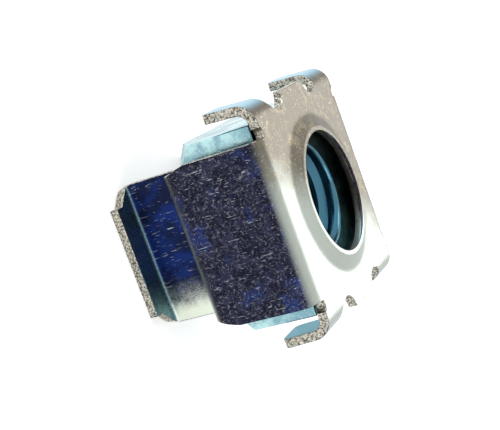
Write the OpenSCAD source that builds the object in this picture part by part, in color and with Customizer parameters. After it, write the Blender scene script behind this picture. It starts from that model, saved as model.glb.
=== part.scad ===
// Cage nut for a rack with square holes: a square nut held loosely in a
// folded spring-steel cage whose two legs snap through the hole.
//
// Frame: millimetres, +Z up, the screw axis on Z. The cage stands on its two
// lips at Z = 0 with its plate on top, and its two walls face -X and +X.
// Inside the modules the sheet is drawn hanging from the plate's outer face,
// so heights there are negative, and it is lifted onto its lips at the end.

/* [Nut] */
// Width of the square nut across its flats
nut_w = 11.2; // [9:0.1:14]
// Thickness of the nut
nut_t = 5.2; // [3.5:0.1:7]
// Bore before threading, the thread's minor diameter
bore_d = 5; // [3.3:0.1:6.6]
// Widest diameter of the countersink at each end of the bore
countersink_d = 6.26; // [5:0.02:7]
// Diameter outside which the nut's lower corners are bevelled
bevel_d = 13.3; // [12:0.1:16]

/* [Sheet] */
// Thickness of the spring-steel sheet
sheet_t = 0.55; // [0.3:0.05:0.8]
// Inner radius of the bends that close the cage round the nut
bend_r = 0.6; // [0.3:0.05:1]
// Radius in the corner between shoulder and leg
root_r = 0.3; // [0.2:0.05:0.6]
// Radius in the corner between leg and lip
lip_r = 0.25; // [0.15:0.05:0.5]

/* [Cage] */
// Width of each wall
wall_w = 9.5; // [9:0.1:12]
// Room for the nut to shift between the walls, each side
wall_play = 0.75; // [0.2:0.05:1.5]
// Room for the nut to shift between the tabs, each side
tab_play = 0.67; // [0.2:0.01:1.5]
// Room for the nut to lift off the shoulders
lift_play = 0.25; // [0.1:0.05:1]
// Length over which a wall narrows to the leg's width
neck_len = 1.35; // [0.5:0.05:2]
// Full-width-of-leg stretch left above the shoulder's outer face
neck_foot = 0.35; // [0.1:0.05:0.8]

/* [Legs] */
// Side of the square hole that the legs pass through
panel_hole = 9.5; // [9:0.1:11]
// Gap between each leg's outer face and the hole
leg_gap = 0.35; // [0.1:0.05:0.6]
// Gap between each leg's side edge and the hole
leg_side_gap = 0.4; // [0.1:0.05:0.8]
// Room for the rack's panel between shoulder and lip
grip = 3.65; // [2:0.05:5]
// How far each lip stands out from its leg
lip_len = 1.55; // [1.2:0.05:2.2]
// How far each lip droops from square to its leg, in degrees
lip_droop = 0; // [0:1:25]
// Width of each lip at its end
lip_w = 6.7; // [4:0.1:8]
// Reach over which a lip narrows from the leg's width
lip_taper = 1; // [0.5:0.05:1.1]

/* [Plate] */
// Diameter of the screw hole
hole_d = 7.2; // [6.6:0.1:8]
// Diameter at the foot of the drawn collar round the hole
collar_d = 9.6; // [9:0.1:11]
// Height of the collar above the plate
collar_h = 0.45; // [0.2:0.05:1]
// Width of the collar's flat rim
rim_w = 0.3; // [0.15:0.05:0.4]
// Straight depth of the hole below the rim
hole_wall = 0.6; // [0.4:0.05:0.9]
// Width of the flat tongue between two tabs
tongue_w = 3.3; // [2:0.1:4.5]
// How far the tongue stops short of the tabs' outer faces
tongue_short = 0.2; // [0:0.05:0.6]

/* [Tabs] */
// Width of each corner tab
tab_w = 2.35; // [1.5:0.05:2.8]
// Distance from each tab's outer edge to the wall beside it
tab_inset = 0.3; // [0.1:0.05:0.6]
// Length of each tab below the plate's outer face
tab_len = 3.15; // [2:0.05:5]
// How far each tab springs outwards from square, in degrees
tab_splay = 3; // [0:1:8]
// Radius of the tabs' lower corners
tab_corner_r = 0.45; // [0.1:0.05:0.8]
// Width of the relief slot between each tab and wall
relief_w = 0.56; // [0.3:0.02:0.8]
// Least flat left between the relief slot and the tabs' bend
relief_land = 0.3; // [0.1:0.05:0.5]

/* [Hidden] */
$fn = 96;

reach = 40;                                   // longer than any part, for cutting shapes
bend_ro = bend_r + sheet_t;
wall_in = nut_w / 2 + wall_play;
wall_out = wall_in + sheet_t;
shoulder_top = -(sheet_t + lift_play + nut_t);
shoulder_bottom = shoulder_top - sheet_t;
leg_out = panel_hole / 2 - leg_gap;
leg_w = panel_hole - 2 * leg_side_gap;
lip_ro = lip_r + sheet_t;
lip_axis = [leg_out + lip_r, shoulder_bottom - grip + lip_r];
lip_end = leg_out + lip_len;
lip_turn = 90 - lip_droop;
lip_run = (lip_end - lip_axis[0] + lip_r * sin(lip_droop)) / cos(lip_droop);
// The cage stands on the underside of its lips, or on their outer corners if they droop
stand_h = -(lip_axis[1] - lip_ro * cos(lip_droop) - lip_run * sin(lip_droop));
// Clear of the nut, and far enough out to leave the relief slot beside the wall
tab_out = max(nut_w / 2 + tab_play + sheet_t, wall_w / 2 + relief_w + relief_land + bend_ro);
tab_axis = tab_out - bend_ro;
tab_edge = wall_in - tab_inset;
tab_side = tab_edge - tab_w;
notch_r = (tab_side - tongue_w / 2) / 2;
notch_x = tongue_w / 2 + notch_r;
notch_y = tab_axis + notch_r;
tongue_end = tab_out - tongue_short;
flat_x = wall_out - bend_ro;                  // where the plate starts to bend into a wall

// Part of a ring between two radii, over an angle from one direction to another
module ring_sector(r_in, r_out, from, to) {
    wedge = [for (i = [0:4]) 2 * r_out * [cos(from + (to - from) * i / 4), sin(from + (to - from) * i / 4)]];
    intersection() {
        difference() {
            circle(r_out);
            circle(r_in);
        }
        polygon(concat([[0, 0]], wedge));
    }
}

// Section of half the strip: plate, wall, shoulder, leg and lip
module strip_half_section() {
    translate([0, -sheet_t]) square([flat_x, sheet_t]);
    translate([flat_x, -bend_ro]) ring_sector(bend_r, bend_ro, 0, 90);
    translate([wall_in, shoulder_bottom + bend_ro])
        square([sheet_t, -shoulder_bottom - 2 * bend_ro]);
    translate([flat_x, shoulder_bottom + bend_ro]) ring_sector(bend_r, bend_ro, -90, 0);
    translate([leg_out + root_r, shoulder_bottom])
        square([flat_x - leg_out - root_r, sheet_t]);
    translate([leg_out + root_r, shoulder_bottom - root_r])
        ring_sector(root_r, root_r + sheet_t, 90, 180);
    translate([leg_out - sheet_t, lip_axis[1]])
        square([sheet_t, shoulder_bottom - root_r - lip_axis[1]]);
    translate(lip_axis) {
        ring_sector(lip_r, lip_ro, 180, 180 + lip_turn);
        rotate(-lip_droop) translate([0, -lip_ro]) square([lip_run, sheet_t]);
    }
}

// What is trimmed off both edges of the strip, from the neck down to the lips
module strip_trim() {
    neck = [
        [wall_w / 2, shoulder_bottom + neck_foot + neck_len],
        [leg_w / 2, shoulder_bottom + neck_foot],
        [leg_w / 2, -reach],
        [reach, -reach],
        [reach, shoulder_bottom + neck_foot + neck_len],
    ];
    taper = [
        [leg_out, leg_w / 2],
        [leg_out + lip_taper, lip_w / 2],
        [reach, lip_w / 2],
        [reach, reach],
        [leg_out, reach],
    ];
    for (side = [0, 1]) mirror([0, side, 0]) {
        rotate([90, 0, 90]) linear_extrude(reach, center = true) polygon(neck);
        for (end = [0, 1]) mirror([end, 0, 0])
            translate([0, 0, -reach])
                linear_extrude(reach + lip_axis[1]) polygon(taper);
    }
}

// The strip that is folded from lip to lip
module strip() {
    difference() {
        for (end = [0, 1]) mirror([end, 0, 0])
            rotate([90, 0, 0]) linear_extrude(wall_w, center = true) strip_half_section();
        strip_trim();
    }
}

// Section of a tab: the bend down from the plate, then the straight leaf
module tab_section() {
    leaf = (tab_len - bend_ro + bend_ro * sin(tab_splay)) / cos(tab_splay);
    translate([tab_axis, -bend_ro]) {
        ring_sector(bend_r, bend_ro, tab_splay, 90);
        rotate(tab_splay) translate([bend_r, -leaf]) square([sheet_t, leaf]);
    }
}

// Front outline of a tab, with its lower corners rounded
module tab_outline() {
    low = -tab_len;
    left = notch_x;
    translate([left, low + tab_corner_r]) square([tab_edge - left, tab_len]);
    translate([tab_side + tab_corner_r, low])
        square([tab_w - 2 * tab_corner_r, tab_len]);
    for (x = [tab_side + tab_corner_r, tab_edge - tab_corner_r])
        translate([x, low + tab_corner_r]) circle(tab_corner_r);
}

// One quarter of what the plate carries beside the strip: half a tongue and a tab
module plate_quarter() {
    relief_r = relief_w / 2;
    relief_y = wall_w / 2 + relief_r;
    difference() {
        union() {
            translate([0, 0, -sheet_t]) linear_extrude(sheet_t) {
                square([flat_x, tab_axis]);
                square([tongue_w / 2, tongue_end]);
                translate([0, tab_axis]) square([notch_x, notch_r / 2]);
                translate([flat_x, relief_y + relief_r])
                    square([tab_edge - flat_x, tab_axis - relief_y - relief_r]);
                difference() {
                    translate([flat_x, relief_y]) square([relief_r, relief_r]);
                    translate([flat_x + relief_r, relief_y]) circle(relief_r);
                }
            }
            intersection() {
                rotate([90, 0, 90]) linear_extrude(reach) tab_section();
                rotate([90, 0, 0]) linear_extrude(2 * reach, center = true) tab_outline();
            }
        }
        translate([notch_x, notch_y, -reach]) cylinder(r = notch_r, h = 2 * reach);
        translate([tongue_w / 2, notch_y, -reach])
            cube([2 * notch_r, reach, 2 * reach]);
    }
}

// Section of the collar drawn up round the hole, without the hole itself
module collar_section() {
    foot = collar_d / 2;
    rim = hole_d / 2 + rim_w;
    polygon([[0, 0], [foot, 0], [rim, collar_h], [0, collar_h]]);
}

// Section of what the hole and the hollow under the collar take away
module hole_section() {
    r = hole_d / 2;
    hollow_top = collar_h - hole_wall;
    slope = (collar_d / 2 - r - rim_w) / collar_h;
    flare = r + slope * (hollow_top + sheet_t);
    polygon([[0, -bend_ro], [flare, -bend_ro], [flare, -sheet_t], [r, hollow_top], [r, reach], [0, reach]]);
}

module cage() {
    color("lightsteelblue") translate([0, 0, stand_h]) difference() {
        union() {
            strip();
            for (x = [0, 1]) for (y = [0, 1])
                mirror([x, 0, 0]) mirror([0, y, 0]) plate_quarter();
            rotate_extrude() collar_section();
        }
        rotate_extrude() hole_section();
    }
}

// Section of the blank that the nut's square is cut from, bevelled at the bottom
module nut_section() {
    corner = nut_w;
    bevel_r = bevel_d / 2;
    polygon([[0, 0], [bevel_r, 0], [corner, corner - bevel_r], [corner, nut_t], [0, nut_t]]);
}

module nut() {
    sink = (countersink_d - bore_d) / 2;
    color("silver") translate([0, 0, stand_h + shoulder_top]) difference() {
        intersection() {
            translate([-nut_w / 2, -nut_w / 2, 0]) cube([nut_w, nut_w, nut_t]);
            rotate_extrude() nut_section();
        }
        translate([0, 0, -1]) cylinder(d = bore_d, h = nut_t + 2);
        cylinder(d1 = countersink_d, d2 = bore_d, h = sink);
        translate([0, 0, nut_t - sink]) cylinder(d1 = bore_d, d2 = countersink_d, h = sink);
    }
}

cage();
nut();
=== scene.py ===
# %% [markdown]
# # A cage nut for rack frames
#
# A cage nut is two pieces: a square nut, and a strip of spring steel folded
# round it so that it can shift but not fall out. The lesson starts from the
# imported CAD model, which fixes the size and place of everything. The folded
# cage and the nut are then modelled again by hand, because the CAD solids
# have knife-sharp edges and a plain bore, and real pressed steel has neither.

# %% Load the frame
import math

import bmesh
import bpy
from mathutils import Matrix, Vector


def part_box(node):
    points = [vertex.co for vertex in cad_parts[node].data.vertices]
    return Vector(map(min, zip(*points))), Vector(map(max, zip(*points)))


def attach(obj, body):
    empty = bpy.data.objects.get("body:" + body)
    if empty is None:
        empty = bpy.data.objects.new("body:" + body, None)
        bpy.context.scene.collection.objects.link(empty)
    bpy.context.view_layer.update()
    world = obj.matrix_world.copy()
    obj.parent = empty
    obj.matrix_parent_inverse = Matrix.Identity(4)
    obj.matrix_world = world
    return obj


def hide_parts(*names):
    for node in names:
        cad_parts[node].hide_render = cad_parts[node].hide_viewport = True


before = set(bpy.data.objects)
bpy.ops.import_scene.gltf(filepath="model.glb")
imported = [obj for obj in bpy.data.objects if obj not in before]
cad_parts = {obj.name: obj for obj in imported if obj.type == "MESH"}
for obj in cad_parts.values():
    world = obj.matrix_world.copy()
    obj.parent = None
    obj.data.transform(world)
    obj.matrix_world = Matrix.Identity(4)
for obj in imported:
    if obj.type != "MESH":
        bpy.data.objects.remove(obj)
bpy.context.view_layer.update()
print("CAD nodes:", sorted(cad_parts))

# %% [markdown]
# ## Sizes
#
# Blender's operators weld and snap at distances meant for room-sized things,
# which is too coarse for a part as small as a fingernail. So the pieces are
# modelled with one millimetre as one unit, and shrunk to metres when they are
# finished. The sizes come from the frame where it has them.

# %% Sizes in millimetres
MM = 0.001
cage_low, cage_high = [[c / MM for c in corner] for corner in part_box("cage")]
nut_low, nut_high = [[c / MM for c in corner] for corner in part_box("nut")]

sheet = 0.55
nut_lift = 0.25
bend_out = 1.15
plate_top = nut_high[2] + nut_lift + sheet
shoulder_face = nut_low[2] - sheet
wall_face = cage_high[0]
flat_x = wall_face - bend_out
print("plate at", round(plate_top, 3), "walls at", round(wall_face, 3))

# %% [markdown]
# ## Camera
#
# A long lens close to a small thing flattens it a little without hiding its
# depth. The camera leans far over on its side, because the part was made to
# look as if it lay on one of its flanks while the frame stands it on its lips.

# %% Camera
camera_data = bpy.data.cameras.new("camera")
camera_data.lens = 86.3
camera_data.sensor_width = 36
camera_data.clip_start = 0.001
camera = bpy.data.objects.new("camera", camera_data)
bpy.context.scene.collection.objects.link(camera)
camera.location = Vector((-63.88, 10.41, plate_top + 26.83)) * MM
camera.rotation_euler = [math.radians(a) for a in (28.91, -59.43, -41.97)]
bpy.context.scene.camera = camera

# %% [markdown]
# ## Shader sums
#
# Materials here are built from nodes, and a long chain of Math nodes is hard
# to read. A small wrapper lets a socket be used in ordinary Python sums, and
# each sum adds the Math node that it needs.

# %% A socket that can be added, subtracted and multiplied
class Wire:
    """A shader socket that works in sums such as 1 - speckle * 0.5."""

    def __init__(self, tree, socket=None):
        self.tree, self.socket = tree, socket

    def node(self, kind, settings=None, inputs=None, output=0):
        """Add any node: its settings first, then the values or wires of its sockets."""
        made = self.tree.nodes.new(kind)
        for name, value in (settings or {}).items():
            if name == "stops":
                ramp = made.color_ramp
                while len(ramp.elements) < len(value):
                    ramp.elements.new(0.5)
                for element, (place, colour) in zip(ramp.elements, value):
                    element.position, element.color = place, colour
            else:
                setattr(made, name, value)
        for name, value in (inputs or {}).items():
            if isinstance(value, Wire):
                self.tree.links.new(value.socket, made.inputs[name])
            else:
                made.inputs[name].default_value = value
        return Wire(self.tree, made.outputs[output])

    def sum(self, operation, first, second=0.0):
        return self.node("ShaderNodeMath", {"operation": operation}, {0: first, 1: second})

    def __add__(self, other):
        return self.sum("ADD", self, other)

    def __sub__(self, other):
        return self.sum("SUBTRACT", self, other)

    def __rsub__(self, other):
        return self.sum("SUBTRACT", other, self)

    def __mul__(self, other):
        return self.sum("MULTIPLY", self, other)

    def __abs__(self):
        return self.sum("ABSOLUTE", self)

    def most(self, other):
        return self.sum("MAXIMUM", self, other)

    def rise(self, low, high):
        """0 below low and 1 above high, with a soft step. With low above high it falls."""
        return self.node(
            "ShaderNodeMapRange",
            {"interpolation_type": "SMOOTHSTEP"},
            {"Value": self, "From Min": low, "From Max": high},
        )

    def blend(self, under, over):
        """The colour under where this mask is 0, over where it is 1."""
        return self.node(
            "ShaderNodeMix", {"data_type": "RGBA"}, {0: self, 6: under, 7: over}, output=2
        )

    __radd__, __rmul__ = __add__, __mul__


def colour(red, green, blue):
    """A colour as it looks on a screen, from 0 to 255, made linear for the shader."""
    parts = [part / 255 for part in (red, green, blue)]
    return [p / 12.92 if p <= 0.04045 else ((p + 0.055) / 1.055) ** 2.4 for p in parts] + [1]


def new_material(name):
    """A material with one Principled shader, and a wire to build on."""
    material = bpy.data.materials.new(name)
    material.use_nodes = True
    shader = material.node_tree.nodes["Principled BSDF"]
    return material, shader, Wire(material.node_tree)


# %% [markdown]
# ## Zinc plate
#
# Bright zinc is a mirror that has been rained on, and here its reflections are
# painted into the colour: the walls and legs near-black navy as painted dark
# reflection, the lips slate teal and the plate grey to brown-grey as painted
# reflection, the legs paler towards their lower ends as painted highlight, and
# faces that look along Y pale cyan as painted light. Fine pale scratches and
# specks break it up, and the thin passivation film tints it blue, tan and
# violet. The film is uneven, so each face gets its own mix of a few soft
# noises, placed in millimetres on the part itself.

# %% Places and facings shared by the materials
def axes(vector):
    """The three numbers inside a vector wire."""
    split = vector.tree.nodes.new("ShaderNodeSeparateXYZ")
    vector.tree.links.new(vector.socket, split.inputs[0])
    return [Wire(vector.tree, part) for part in split.outputs]


def places(wire):
    """Wires for the place in millimetres and for the facing of a surface point."""
    spot = wire.node("ShaderNodeTexCoord", output="Object")
    spot = wire.node("ShaderNodeVectorMath", {"operation": "SCALE"}, {0: spot, "Scale": 1 / MM})
    facing = wire.node("ShaderNodeTexCoord", output="Normal")
    return spot, axes(spot), axes(facing)


def noise(spot, scale, detail=2.0, rough=0.5, twist=0.0):
    """Soft random cloud; a larger scale makes finer specks."""
    return spot.node(
        "ShaderNodeTexNoise",
        {},
        {
            "Vector": spot,
            "Scale": scale,
            "Detail": detail,
            "Roughness": rough,
            "Distortion": twist,
        },
    )


def stretched(spot, turn, stretch):
    """The same place, turned and stretched, for scratches that run one way."""
    return spot.node(
        "ShaderNodeMapping", {}, {"Vector": spot, "Rotation": turn, "Scale": stretch}
    )


def scratches(spot, turn, sparse=0.66):
    """Thin pale lines that run one way."""
    lines = noise(stretched(spot, turn, (14.0, 14.0, 1.1)), 1.0, 3.0, 0.6, 0.6)
    return lines.rise(sparse, sparse + 0.07)


def finish_metal(shader, wire, base, rough, height, strength, depth=0.03):
    """Send a metal's colour, roughness and relief, depth in millimetres, to its shader."""
    shader.inputs["Metallic"].default_value = 1.0
    wire.tree.links.new(base.socket, shader.inputs["Base Color"])
    if isinstance(rough, Wire):
        wire.tree.links.new(rough.socket, shader.inputs["Roughness"])
    else:
        shader.inputs["Roughness"].default_value = rough
    relief = wire.node(
        "ShaderNodeBump", {}, {"Strength": strength, "Distance": depth * MM, "Height": height}
    )
    wire.tree.links.new(relief.socket, shader.inputs["Normal"])


# %% Zinc on the cage
cage_zinc, shader, wire = new_material("zinc_on_spring_steel")
spot, (x, y, z), (nx, ny, nz) = places(wire)
flank = abs(nx)
cloud = noise(spot, 0.55, 3.0, 0.6)
patch = noise(spot, 1.3, 4.0, 0.65, 0.8)
grain = noise(spot, 7.0, 4.0, 0.75)
speck = noise(spot, 13.0, 2.0, 0.8)
scratch = scratches(spot, (0.5, 0.3, 0.2)).most(scratches(spot, (1.3, -0.4, 0.9))).most(
    scratches(spot, (-0.7, 0.9, -0.3))
)

# The walls' near-black navy is painted dark reflection, tinted blue by the film; pale specks
# come from the grain.
film_and_painted_reflection = patch.rise(0.42, 0.62).blend(colour(27, 28, 44), colour(44, 46, 66))
film_and_painted_reflection = cloud.rise(0.52, 0.66).blend(film_and_painted_reflection, colour(36, 48, 92))
on_wall = grain.rise(0.52, 0.70).blend(film_and_painted_reflection, colour(112, 114, 122))

# The legs are painted dark reflection like the walls; towards their lower end they get pale
# specks and a near-white end as painted highlight.
painted_highlight_low_leg = (y + patch * 2.2).rise(-0.6, -3.3)
on_leg = cloud.rise(0.42, 0.6).blend(colour(25, 33, 62), colour(28, 46, 104))
on_leg = (painted_highlight_low_leg * speck.rise(0.3, 0.62)).blend(on_leg, colour(196, 202, 190))
on_leg = (y + patch).rise(-2.4, -3.4).blend(on_leg, colour(222, 230, 214))

# The plate is painted light grey towards its lower edge and brown-grey with tan patches towards
# its upper edge, as painted reflection partly tinted by the film; pale specks come from the
# grain.
painted_reflection_upper_plate = (y + x * 0.5 + cloud * 3.0).rise(-1.0, 3.0)
on_plate = painted_reflection_upper_plate.blend(colour(172, 180, 172), colour(104, 98, 86))
on_plate = (painted_reflection_upper_plate * patch.rise(0.5, 0.68)).blend(on_plate, colour(132, 122, 100))
on_plate = grain.rise(0.58, 0.7).blend(on_plate, colour(190, 194, 188))

# Faces are painted by facing: flat ones take the plate's painted reflection and upright ones the
# wall's.
lying = abs(nz).rise(0.45, 0.85)
base = lying.blend(on_wall, on_plate)
base = ((z - shoulder_face).rise(-0.1, -0.4) * flank.rise(0.4, 0.8)).blend(base, on_leg)
# The lips' slate teal is painted reflection of the leg and wall.
on_lip = grain.rise(0.4, 0.7).blend(colour(84, 112, 124), colour(122, 156, 160))
base = (z.rise(1.25, 0.85) * nz.rise(0.3, 0.7)).blend(base, on_lip)
# Faces that look along Y are painted pale cyan: painted light from that side.
painted_light_y_faces = abs(ny).rise(0.5, 0.9)
base = painted_light_y_faces.blend(base, colour(142, 186, 204))
base = (scratch * 0.7).blend(base, colour(196, 200, 206))
height = grain * 0.5 + patch + scratch * 0.3
finish_metal(shader, wire, base, 0.24 + grain * 0.22, height, 0.35)
print("zinc_on_spring_steel nodes:", len(cage_zinc.node_tree.nodes))

# %% [markdown]
# ## Sheared edges
#
# A punch cuts cleanly through the top of a sheet and tears the rest, and zinc
# covers the tear thinly. One coarse noise serves twice, as the colour and as
# the relief, so that the dark places are also the low ones.

# %% Sheared edges
cut_steel, shader, wire = new_material("sheared_edge")
tear = noise(places(wire)[0], 9.0, 4.0, 0.8)
base = tear.rise(0.4, 0.6).blend(colour(58, 54, 50), colour(214, 210, 196))
finish_metal(shader, wire, base, 0.38, tear, 0.6, depth=0.04)
print("sheared_edge nodes:", len(cut_steel.node_tree.nodes))

# %% [markdown]
# ## Zinc on the nut
#
# The nut is thicker, smoother steel, so it takes a cleaner and paler film.
# Inside the hole it is painted a darker blue, a painted reflection of the nut itself, which the
# bore mostly reflects.

# %% Zinc on the nut
nut_zinc, shader, wire = new_material("zinc_on_nut")
spot, (x, y, z), facing = places(wire)
cloud = noise(spot, 0.6, 3.0, 0.6)
grain = noise(spot, 8.0, 3.0, 0.7)
base = cloud.rise(0.4, 0.62).blend(colour(120, 160, 172), colour(176, 214, 216))
base = (grain.rise(0.55, 0.7) * 0.6).blend(base, colour(216, 224, 220))
# The bore is painted a darker blue: painted reflection of the nut's own bore.
painted_bore_reflection = (x * x + y * y).rise(12.0, 9.0)
base = painted_bore_reflection.blend(base, colour(72, 118, 138))
finish_metal(shader, wire, base, 0.26, grain, 0.3)
print("zinc_on_nut nodes:", len(nut_zinc.node_tree.nodes))

# %% [markdown]
# ## Working by hand, in code
#
# Each operator acts on what is selected, so every step starts by selecting
# nothing and then picking edges by where they are. Sheet metal is easiest to
# draw out from an edge, one row at a time: extrude the edge, move it to the
# next place on the path, and scale it to the width the strip has there.

# %% Helpers for modelling
CLOSE = 0.004


def start_piece(name):
    """Name the object just added, and open it for editing with nothing selected."""
    piece = bpy.context.object
    piece.name = piece.data.name = name
    bpy.ops.object.mode_set(mode="EDIT")
    bpy.ops.mesh.select_mode(type="EDGE")
    bpy.ops.mesh.select_all(action="DESELECT")
    return piece


def pick(test):
    """Select the open edges whose two ends both pass a test on their place."""
    bpy.ops.mesh.select_all(action="DESELECT")
    mesh = bmesh.from_edit_mesh(bpy.context.object.data)
    for edge in mesh.edges:
        is_open = edge.is_boundary or edge.is_wire
        if is_open and all(test(v.co) for v in edge.verts):
            edge.select_set(True)
    bmesh.update_edit_mesh(bpy.context.object.data)


def pull(rows, across):
    """Draw the selected edge through rows of (fixed point, width), scaled along across."""
    for (here, width), (there, next_width) in zip(rows, rows[1:]):
        step = Vector(there) - Vector(here)
        bpy.ops.mesh.extrude_edges_move(TRANSFORM_OT_translate={"value": step})
        scale = [1.0, 1.0, 1.0]
        for axis in across:
            scale["XYZ".index(axis)] = next_width / width
        bpy.ops.transform.resize(value=scale, center_override=there)


def arc(centre, radius, start, stop, steps):
    """Points on an arc, from one direction in degrees to another, without the first."""
    angles = [math.radians(start + (stop - start) * i / steps) for i in range(1, steps + 1)]
    return [(centre[0] + radius * math.cos(a), centre[1] + radius * math.sin(a)) for a in angles]


def line(start, end, steps):
    """Points on a straight line, without the first."""
    return [
        tuple(a + (b - a) * i / steps for a, b in zip(start, end)) for i in range(1, steps + 1)
    ]


def cut(point, normal, clear=False):
    """Cut everything along a plane, and throw away the far side if asked."""
    bpy.ops.mesh.select_all(action="SELECT")
    bpy.ops.mesh.bisect(plane_co=point, plane_no=normal, clear_outer=clear, threshold=CLOSE / 10)


def apply_all(piece):
    """Leave edit mode and apply every modifier in turn."""
    bpy.ops.object.mode_set(mode="OBJECT")
    for modifier in list(piece.modifiers):
        bpy.ops.object.modifier_apply(modifier=modifier.name)


def finish_piece(piece):
    """Shrink a finished piece from millimetres to metres, and give it its body."""
    bpy.ops.object.select_all(action="DESELECT")
    piece.select_set(True)
    bpy.context.view_layer.objects.active = piece
    piece.scale = (MM, MM, MM)
    bpy.ops.object.transform_apply(location=True, rotation=True, scale=True)
    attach(piece, "root")
    faces = sum(len(p.vertices) - 2 for p in piece.data.polygons)
    print(piece.name, "triangles:", faces)


# %% [markdown]
# ## The folded cage
#
# The cage is its own mirror image twice over, so a quarter is enough. It
# starts at the rim of the screw hole, grows outwards over the collar and
# across the plate, and is cut square. The wall, shoulder, leg and lip are then
# one strip drawn out from the plate's edge, and so are the tab and tongue.

# %% Hole, collar and plate
hole_r, rim_r, collar_r, collar_h = 3.6, 3.9, 4.8, 0.45
rim_low = collar_h - 0.05
splay_out = 0.106  # how far the tabs' splay carries their tips past the bend
tab_root = cage_high[1] - bend_out - splay_out
notch_r, notch_x = 1.025, 2.675
wall_half, leg_half = 4.75, 4.35
relief_r = 0.28

bpy.ops.object.select_all(action="DESELECT")
bpy.ops.mesh.primitive_circle_add(
    vertices=192, radius=hole_r, location=(0, 0, plate_top + rim_low)
)
bpy.ops.object.transform_apply(location=True)
cage = start_piece("folded_cage")
mesh = bmesh.from_edit_mesh(cage.data)
for vertex in mesh.verts:
    vertex.select_set(vertex.co.x < -CLOSE or vertex.co.y < -CLOSE)
bpy.ops.mesh.select_mode(type="VERT")
bpy.ops.mesh.delete(type="VERT")
bpy.ops.mesh.select_mode(type="EDGE")
bpy.ops.mesh.select_all(action="SELECT")

# Each place is a radius and a height above the plate
collar = [(hole_r, rim_low), (hole_r + 0.02, collar_h - 0.015), (hole_r + 0.06, collar_h)]
collar += [(rim_r - 0.08, collar_h), (rim_r - 0.02, collar_h - 0.012), (rim_r + 0.05, rim_low)]
collar += line(collar[-1], (collar_r - 0.2, 0.09), 5)
collar += [(collar_r - 0.08, 0.04), (collar_r + 0.06, 0.01), (collar_r + 0.25, 0.0)]
collar += [(r, 0.0) for r in (5.4, 5.9, 6.5, 7.2, 9.0)]
pull([((0, 0, plate_top + h), r) for r, h in collar], "XY")
cut((flat_x, 0, 0), (1, 0, 0), clear=True)
cut((0, tab_root, 0), (0, 1, 0), clear=True)
for height in (wall_half, wall_half + relief_r):
    cut((0, height, 0), (0, 1, 0))
cut((notch_x, 0, 0), (1, 0, 0))
print("plate faces:", len(bmesh.from_edit_mesh(cage.data).faces))

# %% [markdown]
# The strip's side view is one path: bend, wall, bend, shoulder, leg, lip. The
# plate's edge is drawn along it and scaled at each row to the width there, so
# the neck and the tapered lip need no cuts.

# %% Wall, shoulder, leg and lip
root_r, lip_r = 0.3, 0.25
leg_face, lip_end = 4.4, 5.95
lip_droop, lip_taper = 5, 1.0
droop_reach = 0.6
lip_out = lip_r + sheet
lip_z = lip_out + math.tan(math.radians(lip_droop)) * droop_reach
neck_low, neck_high = shoulder_face + 0.35, shoulder_face + 1.7
wall_low = shoulder_face + bend_out

path = [(flat_x, plate_top)]
path += arc((flat_x, plate_top - bend_out), bend_out, 90, 0, 14)
path += line((wall_face, plate_top - bend_out), (wall_face, wall_low), 14)
path += arc((flat_x, wall_low), bend_out, 0, -90, 14)
path += line((flat_x, shoulder_face), (leg_face + root_r, shoulder_face), 3)
path += arc((leg_face + root_r, shoulder_face - root_r), root_r, 90, 180, 8)
path += line((leg_face, shoulder_face - root_r), (leg_face, lip_z), 12)
path += arc((leg_face + lip_r, lip_z), lip_r, 180, 270 - lip_droop, 7)
drop = (lip_end - path[-1][0]) * math.tan(math.radians(lip_droop))
path += line(path[-1], (lip_end, path[-1][1] - drop), 7)


def half_width(across, height):
    """Half the width of the strip at a place on its path."""
    if height < lip_z:
        return leg_half - min(lip_taper, max(0.0, across - leg_face))
    narrow = min(1.0, max(0.0, (neck_high - height) / (neck_high - neck_low)))
    return wall_half + (leg_half - wall_half) * narrow


pick(lambda p: abs(p.x - flat_x) < CLOSE and p.y < wall_half + CLOSE)
pull([((a, 0, h), half_width(a, h)) for a, h in path], "Y")

# %% [markdown]
# The tongue and the tab share a round notch. The tongue's edge is drawn out
# while it narrows along the notch's arc, and the tab's rows follow the other
# half of the same arc before they fold down.

# %% Tongue, relief corner and tab
notch_turn = 85.8  # degrees, short of square so that the rows stay apart
turns = [math.radians(notch_turn * i / 10) for i in range(11)]
pick(lambda p: abs(p.y - tab_root) < CLOSE and p.x < notch_x + CLOSE)
pull(
    [
        ((0, tab_root + notch_r * (1 - math.cos(a)), plate_top), notch_x - notch_r * math.sin(a))
        for a in turns
    ],
    "X",
)

corner_x, corner_y = flat_x + relief_r, wall_half + relief_r
tab_edge = corner_x + 0.02
turns = [math.radians(90 * i / 8) for i in range(9)]
corner = [(corner_x - relief_r * math.cos(a), corner_y + relief_r * math.sin(a)) for a in turns]
corner.append((tab_edge, corner_y + relief_r))
pick(lambda p: abs(p.x - flat_x) < CLOSE and p.y > wall_half + relief_r - CLOSE)
pull([((a, tab_root, plate_top), tab_root - low) for a, low in corner], "Y")

tab_side = notch_x + notch_r
tab_splay, tab_length, tip_r = 3, 3.15, 0.45
fold = [(tab_root, plate_top)]
fold += arc((tab_root, plate_top - bend_out), bend_out, 90, tab_splay, 12)
tip_out = math.tan(math.radians(tab_splay)) * (tab_length - bend_out)
tip = (fold[-1][0] + tip_out, plate_top - tab_length)
fold += line(fold[-1], tip, 20)


def tab_span(out, height):
    """Where the tab's two edges are at a place on its path."""
    rise = max(0.0, tab_root + notch_r - out)
    inner = notch_x + math.sqrt(max(0.0, notch_r**2 - rise**2))
    if height < plate_top - bend_out:
        inner = tab_side
    short = max(0.0, tip_r - (height - tip[1]))
    round_off = tip_r - math.sqrt(max(0.0, tip_r**2 - short**2))
    return inner + round_off, tab_edge - round_off


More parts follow.
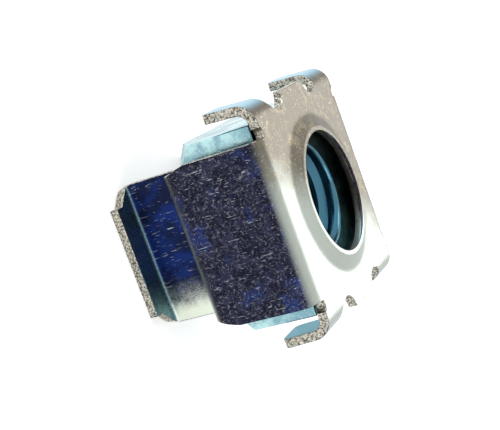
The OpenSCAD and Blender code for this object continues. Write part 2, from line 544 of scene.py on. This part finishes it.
pick(lambda p: abs(p.y - tab_root) < CLOSE and p.x > notch_x - CLOSE)
rows = []
for out, height in fold:
    inner, outer = tab_span(out, height)
    rows.append((((inner + outer) / 2, out, height), outer - inner))
pull(rows, "X")

# %% [markdown]
# The quarter is mirrored both ways and welded, and only then given its
# thickness, so the sheet has one even wall and no seam inside. A small bevel
# last rounds every cut edge, because real edges catch the light.

# %% Weld, mirror, thicken and round the edges
bpy.ops.mesh.select_all(action="SELECT")
bpy.ops.mesh.remove_doubles(threshold=CLOSE / 4)
bpy.ops.object.mode_set(mode="OBJECT")
mirror = cage.modifiers.new("both_ways", "MIRROR")
mirror.use_axis = (True, True, False)
mirror.merge_threshold = CLOSE
apply_all(cage)
bpy.ops.object.mode_set(mode="EDIT")
bpy.ops.mesh.select_all(action="SELECT")
bpy.ops.mesh.remove_doubles(threshold=CLOSE / 4)
bpy.ops.mesh.normals_make_consistent(inside=False)
bpy.ops.object.mode_set(mode="OBJECT")
highest = max(cage.data.polygons, key=lambda p: p.center.z + abs(p.normal.z))
if highest.normal.z < 0:
    bpy.ops.object.mode_set(mode="EDIT")
    bpy.ops.mesh.flip_normals()
    bpy.ops.object.mode_set(mode="OBJECT")
cage.data.materials.append(cage_zinc)
cage.data.materials.append(cut_steel)
thicken = cage.modifiers.new("thickness", "SOLIDIFY")
thicken.thickness = sheet
thicken.offset = -1
thicken.use_even_offset = True
thicken.use_quality_normals = True
thicken.material_offset_rim = 1
apply_all(cage)
bevel = cage.modifiers.new("rolled_edges", "BEVEL")
bevel.width = 0.05
bevel.segments = 3
bevel.limit_method = "ANGLE"
bevel.angle_limit = math.radians(50)
bevel.use_clamp_overlap = False
apply_all(cage)
bpy.ops.object.shade_smooth_by_angle(angle=math.radians(40))
finish_piece(cage)
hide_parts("cage")

# %% [markdown]
# ## The nut
#
# A square nut of this kind is sliced from bar and squared, so it is made the
# same way: a turned ring first, then four flat cuts. The thread is a ridge
# wound up the inside of the bore, clipped by the countersinks at both ends.

# %% Turned blank, squared
nut_bottom, nut_top = nut_low[2], nut_high[2]
nut_half = nut_high[0]
major_r, minor_r, sink_r, bevel_r = 3.0, 2.5, 3.13, 6.65
blank_r = 8.3  # past the corners of the square
seam_z, sink_depth = nut_top - 0.3, 0.13
bpy.ops.object.select_all(action="DESELECT")
bpy.ops.mesh.primitive_circle_add(vertices=96, radius=major_r, location=(0, 0, seam_z))
bpy.ops.object.transform_apply(location=True)
nut = start_piece("square_nut")
bpy.ops.mesh.select_all(action="SELECT")
blank = [(major_r, seam_z), (major_r, nut_top - sink_depth), (sink_r, nut_top)]
blank += [(blank_r, nut_top), (blank_r, nut_bottom + blank_r - bevel_r)]
blank += [(bevel_r, nut_bottom), (sink_r, nut_bottom)]
blank += [(major_r, nut_bottom + sink_depth), (major_r, seam_z)]
pull([((0, 0, h), r) for r, h in blank], "XY")
bpy.ops.mesh.select_all(action="SELECT")
bpy.ops.mesh.remove_doubles(threshold=CLOSE / 4)
bpy.ops.mesh.normals_make_consistent(inside=False)
for side in ((1, 0, 0), (-1, 0, 0), (0, 1, 0), (0, -1, 0)):
    bpy.ops.mesh.select_all(action="SELECT")
    bpy.ops.mesh.bisect(
        plane_co=Vector(side) * nut_half, plane_no=side, clear_outer=True, use_fill=True
    )
bpy.ops.object.mode_set(mode="OBJECT")
nut.data.materials.append(nut_zinc)
bevel = nut.modifiers.new("worn_edges", "BEVEL")
bevel.width = 0.1
bevel.segments = 3
bevel.limit_method = "ANGLE"
bevel.angle_limit = math.radians(35)
bevel.use_clamp_overlap = False
apply_all(nut)
bpy.ops.object.shade_smooth_by_angle(angle=math.radians(40))
finish_piece(nut)
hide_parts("nut")

# %% [markdown]
# The thread is one small section wound up by the Screw modifier. Its foot is
# buried in the nut so that no gap shows, and the ends are pressed back to the
# slope of the countersinks.

# %% Thread ridge
pitch = 1.0
buried_by, foot_half, crest_half, end_gap = 0.06, 0.46, 0.07, 0.02
bpy.ops.object.select_all(action="DESELECT")
bpy.ops.mesh.primitive_plane_add(size=1, rotation=(math.radians(90), 0, 0))
bpy.ops.object.transform_apply(rotation=True)
thread = start_piece("thread_ridge")
bpy.ops.mesh.select_all(action="SELECT")
bpy.ops.mesh.delete(type="ONLY_FACE")
mesh = bmesh.from_edit_mesh(thread.data)
for vertex in mesh.verts:
    buried = vertex.co.x > 0
    side = math.copysign(1, vertex.co.z)
    if buried:
        vertex.co = (major_r + buried_by, 0, side * foot_half)
    else:
        vertex.co = (minor_r, 0, side * crest_half)
bpy.ops.object.mode_set(mode="OBJECT")
for vertex in thread.data.vertices:
    vertex.co.z += nut_bottom + 0.1
wind = thread.modifiers.new("wind", "SCREW")
wind.axis = "Z"
wind.screw_offset = pitch
wind.iterations = 5
wind.steps = wind.render_steps = 72
apply_all(thread)
bpy.ops.object.mode_set(mode="EDIT")
bpy.ops.mesh.select_all(action="SELECT")
bpy.ops.mesh.fill_holes(sides=0)
bpy.ops.mesh.select_all(action="SELECT")
bpy.ops.mesh.normals_make_consistent(inside=False)
bpy.ops.object.mode_set(mode="OBJECT")
for vertex in thread.data.vertices:
    depth = min(nut_top - vertex.co.z, vertex.co.z - nut_bottom)
    limit = sink_r - depth
    radius = math.hypot(vertex.co.x, vertex.co.y)
    if radius < limit:
        vertex.co.x *= limit / radius
        vertex.co.y *= limit / radius
    vertex.co.z = min(nut_top - end_gap, max(nut_bottom + end_gap, vertex.co.z))
thread.data.materials.append(nut_zinc)
bpy.ops.object.shade_smooth_by_angle(angle=math.radians(35))
finish_piece(thread)

# %% [markdown]
# ## Floor and light
#
# The floor and the sky are plain and pale. Both are lifted to white only for
# rays that come straight from the camera or by way of a reflection, so the
# part itself is not lit any brighter and its shadow stays.

# %% Floor
def seen_directly(wire):
    """1 for rays that show the stage itself, 0 for the light that it sheds."""
    kinds = ("Is Camera Ray", "Is Glossy Ray", "Is Transmission Ray")
    direct, glossy, clear = [wire.node("ShaderNodeLightPath", output=kind) for kind in kinds]
    return direct.most(glossy).most(clear)


visual_low = min(v.co.z for v in cage.data.vertices)
bpy.ops.object.select_all(action="DESELECT")
bpy.ops.mesh.primitive_plane_add(size=1.6, location=(0, 0, visual_low))
floor = bpy.context.object
floor.name = "floor"
pale, shader, wire = new_material("pale_floor")
shader.inputs["Base Color"].default_value = colour(244, 244, 244)
shader.inputs["Roughness"].default_value = 0.9
floor_glow = seen_directly(wire) * 0.42
wire.tree.links.new(floor_glow.socket, shader.inputs["Emission Strength"])
shader.inputs["Emission Color"].default_value = (1, 1, 1, 1)
floor.data.materials.append(pale)

# %% World
world = bpy.data.worlds.new("studio")
bpy.context.scene.world = world
world.use_nodes = True
wire = Wire(world.node_tree)
sky_glow = 0.55 + seen_directly(wire) * 0.45
sky = world.node_tree.nodes["Background"]
sky.inputs["Color"].default_value = (1, 1, 1, 1)
world.node_tree.links.new(sky_glow.socket, sky.inputs["Strength"])

# %% [markdown]
# Three broad lamps shape the metal: one over the flank, one behind the plate
# and a weak one beside the camera. Large lamps give polished zinc soft bands.

# %% Lamps
def lamp(name, place, size, power):
    """A soft square lamp, aimed at the part."""
    data = bpy.data.lights.new(name, "AREA")
    data.shape = "SQUARE"
    data.size = size * MM
    data.energy = power
    made = bpy.data.objects.new(name, data)
    bpy.context.scene.collection.objects.link(made)
    made.location = Vector(place) * MM
    aim = Vector((0, 0, plate_top / 2)) * MM - made.location
    made.rotation_euler = aim.to_track_quat("-Z", "Y").to_euler()
    return made


lamp("over_flank", (-20, 110, 60), 90, 0.07)
lamp("behind_plate", (90, -10, 80), 80, 0.05)
lamp("beside_camera", (-90, -60, 60), 60, 0.03)
bpy.context.scene.view_settings.view_transform = "Standard"

# %% Finish
bpy.context.view_layer.update()
